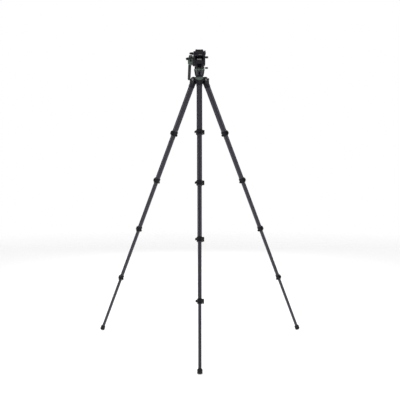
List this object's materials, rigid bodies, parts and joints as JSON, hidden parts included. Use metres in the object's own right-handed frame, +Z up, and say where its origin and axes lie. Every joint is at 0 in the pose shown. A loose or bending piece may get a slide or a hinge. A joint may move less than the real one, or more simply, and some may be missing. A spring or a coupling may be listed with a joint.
{
  "type": "video tripod",
  "caption": "Tall carbon-fibre video tripod with flip-lock telescoping legs, levelling ball neck, fluid pan and tilt head, camera plate and pan bar.",
  "frame": {"origin": "On the floor, in the middle of the box round the three feet. The tripod's own axis stands behind it, because one foot is in front and two are behind.", "axes": "+Z up. -Y is the front, where the lens of a camera on the plate points and where the front leg stands. +X is to the right seen from the front; the pan bar is on the -X side and points back."},
  "size_m": [1.2572, 1.0928, 1.706],
  "materials": {
    "carbon": "satin woven carbon fibre",
    "casting": "satin black powder coat",
    "black": "fine matte moulded",
    "green": "satin dull green anodised",
    "steel": "satin turned",
    "rubber": "matte"
  },
  "bodies": {
    "hub": {"hub": "casting", "leg_a_hinge_pin": "steel", "leg_b_hinge_pin": "steel", "leg_c_hinge_pin": "steel"},
    "leg_a": {"leg_a_shoulder": "casting", "leg_a_section_1": "carbon"},
    "leg_a_angle_tab": {"leg_a_angle_tab": "green"},
    "leg_a_section_2": {"leg_a_section_2": "carbon"},
    "leg_a_section_3": {"leg_a_section_3": "carbon"},
    "leg_a_section_4": {"leg_a_section_4": "carbon"},
    "leg_a_section_5": {"leg_a_section_5": "carbon", "leg_a_foot": "rubber"},
    "leg_a_lever_1": {"leg_a_lever_1": "black"},
    "leg_a_lever_2": {"leg_a_lever_2": "black"},
    "leg_a_lever_3": {"leg_a_lever_3": "black"},
    "leg_a_lever_4": {"leg_a_lever_4": "black"},
    "leg_b": {"leg_b_shoulder": "casting", "leg_b_section_1": "carbon"},
    "leg_b_angle_tab": {"leg_b_angle_tab": "green"},
    "leg_b_section_2": {"leg_b_section_2": "carbon"},
    "leg_b_section_3": {"leg_b_section_3": "carbon"},
    "leg_b_section_4": {"leg_b_section_4": "carbon"},
    "leg_b_section_5": {"leg_b_section_5": "carbon", "leg_b_foot": "rubber"},
    "leg_b_lever_1": {"leg_b_lever_1": "black"},
    "leg_b_lever_2": {"leg_b_lever_2": "black"},
    "leg_b_lever_3": {"leg_b_lever_3": "black"},
    "leg_b_lever_4": {"leg_b_lever_4": "black"},
    "leg_c": {"leg_c_shoulder": "casting", "leg_c_section_1": "carbon"},
    "leg_c_angle_tab": {"leg_c_angle_tab": "green"},
    "leg_c_section_2": {"leg_c_section_2": "carbon"},
    "leg_c_section_3": {"leg_c_section_3": "carbon"},
    "leg_c_section_4": {"leg_c_section_4": "carbon"},
    "leg_c_section_5": {"leg_c_section_5": "carbon", "leg_c_foot": "rubber"},
    "leg_c_lever_1": {"leg_c_lever_1": "black"},
    "leg_c_lever_2": {"leg_c_lever_2": "black"},
    "leg_c_lever_3": {"leg_c_lever_3": "black"},
    "leg_c_lever_4": {"leg_c_lever_4": "black"},
    "cup_washer": {"cup_washer": "steel"},
    "neck": {"levelling_neck": "casting", "pan_base": "casting", "pan_ring": "green"},
    "tie_down_knob": {"tie_down_knob": "black"},
    "head": {"tilt_housing": "casting", "tilt_drag_drum": "steel"},
    "pan_lock_knob": {"pan_lock_knob": "green"},
    "cradle": {"tilt_cradle": "casting", "tilt_shaft": "steel"},
    "tilt_lock_knob": {"tilt_lock_knob": "green"},
    "handle": {"handle_clamp": "green", "handle_jaw": "steel", "pan_bar": "steel", "pan_bar_grip": "rubber"},
    "handle_lock_lever": {"handle_lock_lever": "black"},
    "plate_lock_lever": {"plate_lock_lever": "green"},
    "plate_catch": {"plate_catch": "black"},
    "camera_plate": {"camera_plate": "casting"},
    "camera_screw": {"camera_screw": "steel"}
  },
  "joints": [
    {"name": "leg_a_fold", "type": "hinge", "parent": "hub", "child": "leg_a", "pos_m": [0, 0.14152, 1.538], "axis": [1, 0, 0], "range_deg": [0, 23.8]},
    {"name": "leg_a_tab_pull", "type": "slide", "parent": "leg_a", "child": "leg_a_angle_tab", "axis": [0, -0.915, 0.4035], "range_m": [0, 0.009]},
    {"name": "leg_a_slide_1", "type": "slide", "parent": "leg_a", "child": "leg_a_section_2", "axis": [0, 0.4035, 0.915], "range_m": [0, 0.273]},
    {"name": "leg_a_slide_2", "type": "slide", "parent": "leg_a_section_2", "child": "leg_a_section_3", "axis": [0, 0.4035, 0.915], "range_m": [0, 0.292]},
    {"name": "leg_a_slide_3", "type": "slide", "parent": "leg_a_section_3", "child": "leg_a_section_4", "axis": [0, 0.4035, 0.915], "range_m": [0, 0.305]},
    {"name": "leg_a_slide_4", "type": "slide", "parent": "leg_a_section_4", "child": "leg_a_section_5", "axis": [0, 0.4035, 0.915], "range_m": [0, 0.332]},
    {"name": "leg_a_lock_1", "type": "hinge", "parent": "leg_a", "child": "leg_a_lever_1", "pos_m": [0.0245, 0.00553, 1.22966], "axis": [0, 0.4035, 0.915], "range_deg": [0, 110]},
    {"name": "leg_a_lock_2", "type": "hinge", "parent": "leg_a_section_2", "child": "leg_a_lever_2", "pos_m": [0.0225, -0.11756, 0.9506], "axis": [0, 0.4035, 0.915], "range_deg": [0, 110]},
    {"name": "leg_a_lock_3", "type": "hinge", "parent": "leg_a_section_3", "child": "leg_a_lever_3", "pos_m": [0.0205, -0.2483, 0.65415], "axis": [0, 0.4035, 0.915], "range_deg": [0, 110]},
    {"name": "leg_a_lock_4", "type": "hinge", "parent": "leg_a_section_4", "child": "leg_a_lever_4", "pos_m": [0.0185, -0.3843, 0.34581], "axis": [0, 0.4035, 0.915], "range_deg": [0, 110]},
    {"name": "leg_b_fold", "type": "hinge", "parent": "hub", "child": "leg_b", "pos_m": [0.03118, 0.19552, 1.538], "axis": [-0.5, 0.866, 0], "range_deg": [0, 23.8]},
    {"name": "leg_b_tab_pull", "type": "slide", "parent": "leg_b", "child": "leg_b_angle_tab", "axis": [0.7924, 0.4575, 0.4035], "range_m": [0, 0.009]},
    {"name": "leg_b_slide_1", "type": "slide", "parent": "leg_b", "child": "leg_b_section_2", "axis": [-0.3495, -0.2018, 0.915], "range_m": [0, 0.273]},
    {"name": "leg_b_slide_2", "type": "slide", "parent": "leg_b_section_2", "child": "leg_b_section_3", "axis": [-0.3495, -0.2018, 0.915], "range_m": [0, 0.292]},
    {"name": "leg_b_slide_3", "type": "slide", "parent": "leg_b_section_3", "child": "leg_b_section_4", "axis": [-0.3495, -0.2018, 0.915], "range_m": [0, 0.305]},
    {"name": "leg_b_slide_4", "type": "slide", "parent": "leg_b_section_4", "child": "leg_b_section_5", "axis": [-0.3495, -0.2018, 0.915], "range_m": [0, 0.332]},
    {"name": "leg_b_lock_1", "type": "hinge", "parent": "leg_b", "child": "leg_b_lever_1", "pos_m": [0.1367, 0.28474, 1.22966], "axis": [-0.3495, -0.2018, 0.915], "range_deg": [0, 110]},
    {"name": "leg_b_lock_2", "type": "hinge", "parent": "leg_b_section_2", "child": "leg_b_lever_2", "pos_m": [0.24429, 0.34454, 0.9506], "axis": [-0.3495, -0.2018, 0.915], "range_deg": [0, 110]},
    {"name": "leg_b_lock_3", "type": "hinge", "parent": "leg_b_section_3", "child": "leg_b_lever_3", "pos_m": [0.35852, 0.40819, 0.65415], "axis": [-0.3495, -0.2018, 0.915], "range_deg": [0, 110]},
    {"name": "leg_b_lock_4", "type": "hinge", "parent": "leg_b_section_4", "child": "leg_b_lever_4", "pos_m": [0.4773, 0.47445, 0.34581], "axis": [-0.3495, -0.2018, 0.915], "range_deg": [0, 110]},
    {"name": "leg_c_fold", "type": "hinge", "parent": "hub", "child": "leg_c", "pos_m": [-0.03118, 0.19552, 1.538], "axis": [-0.5, -0.866, 0], "range_deg": [0, 23.8]},
    {"name": "leg_c_tab_pull", "type": "slide", "parent": "leg_c", "child": "leg_c_angle_tab", "axis": [-0.7924, 0.4575, 0.4035], "range_m": [0, 0.009]},
    {"name": "leg_c_slide_1", "type": "slide", "parent": "leg_c", "child": "leg_c_section_2", "axis": [0.3495, -0.2018, 0.915], "range_m": [0, 0.273]},
    {"name": "leg_c_slide_2", "type": "slide", "parent": "leg_c_section_2", "child": "leg_c_section_3", "axis": [0.3495, -0.2018, 0.915], "range_m": [0, 0.292]},
    {"name": "leg_c_slide_3", "type": "slide", "parent": "leg_c_section_3", "child": "leg_c_section_4", "axis": [0.3495, -0.2018, 0.915], "range_m": [0, 0.305]},
    {"name": "leg_c_slide_4", "type": "slide", "parent": "leg_c_section_4", "child": "leg_c_section_5", "axis": [0.3495, -0.2018, 0.915], "range_m": [0, 0.332]},
    {"name": "leg_c_lock_1", "type": "hinge", "parent": "leg_c", "child": "leg_c_lever_1", "pos_m": [-0.1612, 0.2423, 1.22966], "axis": [0.3495, -0.2018, 0.915], "range_deg": [0, 110]},
    {"name": "leg_c_lock_2", "type": "hinge", "parent": "leg_c_section_2", "child": "leg_c_lever_2", "pos_m": [-0.26679, 0.30557, 0.9506], "axis": [0.3495, -0.2018, 0.915], "range_deg": [0, 110]},
    {"name": "leg_c_lock_3", "type": "hinge", "parent": "leg_c_section_3", "child": "leg_c_lever_3", "pos_m": [-0.37903, 0.37268, 0.65415], "axis": [0.3495, -0.2018, 0.915], "range_deg": [0, 110]},
    {"name": "leg_c_lock_4", "type": "hinge", "parent": "leg_c_section_4", "child": "leg_c_lever_4", "pos_m": [-0.4958, 0.44241, 0.34581], "axis": [0.3495, -0.2018, 0.915], "range_deg": [0, 110]},
    {"name": "level_fore_aft", "type": "hinge", "parent": "hub", "child": "cup_washer", "pos_m": [0, 0.17752, 1.55], "axis": [-1, 0, 0], "range_deg": [-7.5, 7.5]},
    {"name": "level_side", "type": "hinge", "parent": "cup_washer", "child": "neck", "pos_m": [0, 0.17752, 1.55], "axis": [0, -1, 0], "range_deg": [-7.5, 7.5]},
    {"name": "tie_down_turn", "type": "hinge", "parent": "neck", "child": "tie_down_knob", "pos_m": [0, 0.17752, 1.52], "axis": [0, 0, 1], "range_deg": [0, 180]},
    {"name": "pan", "type": "hinge", "parent": "neck", "child": "head", "pos_m": [0, 0.17752, 1.601], "axis": [0, 0, 1], "continuous": true},
    {"name": "pan_lock_turn", "type": "hinge", "parent": "head", "child": "pan_lock_knob", "pos_m": [0.04, 0.17752, 1.6045], "axis": [1, 0, 0], "range_deg": [0, 180]},
    {"name": "tilt", "type": "hinge", "parent": "head", "child": "cradle", "pos_m": [0, 0.17752, 1.642], "axis": [1, 0, 0], "range_deg": [-45, 75]},
    {"name": "tilt_lock_turn", "type": "hinge", "parent": "cradle", "child": "tilt_lock_knob", "pos_m": [0.04, 0.17752, 1.6655], "axis": [1, 0, 0], "range_deg": [0, 180]},
    {"name": "handle_angle", "type": "hinge", "parent": "cradle", "child": "handle", "pos_m": [-0.05, 0.19152, 1.645], "axis": [1, 0, 0], "range_deg": [-51.5, 60]},
    {"name": "handle_lock_turn", "type": "hinge", "parent": "handle", "child": "handle_lock_lever", "pos_m": [-0.0445, 0.16882, 1.662], "axis": [0, -1, 0], "range_deg": [0, 75]},
    {"name": "plate_lock_turn", "type": "hinge", "parent": "cradle", "child": "plate_lock_lever", "pos_m": [-0.041, 0.19952, 1.69], "axis": [0, 0, -1], "range_deg": [0, 60]},
    {"name": "plate_catch_pull", "type": "slide", "parent": "cradle", "child": "plate_catch", "axis": [1, 0, 0], "range_m": [0, 0.004], "stiffness_N_per_m": 500},
    {"name": "plate_slide", "type": "slide", "parent": "cradle", "child": "camera_plate", "axis": [0, 1, 0], "range_m": [-0.015, 0.015]},
    {"name": "camera_screw_turn", "type": "hinge", "parent": "camera_plate", "child": "camera_screw", "pos_m": [0, 0.17752, 1.7], "axis": [0, 0, 1], "continuous": true}
  ]
}
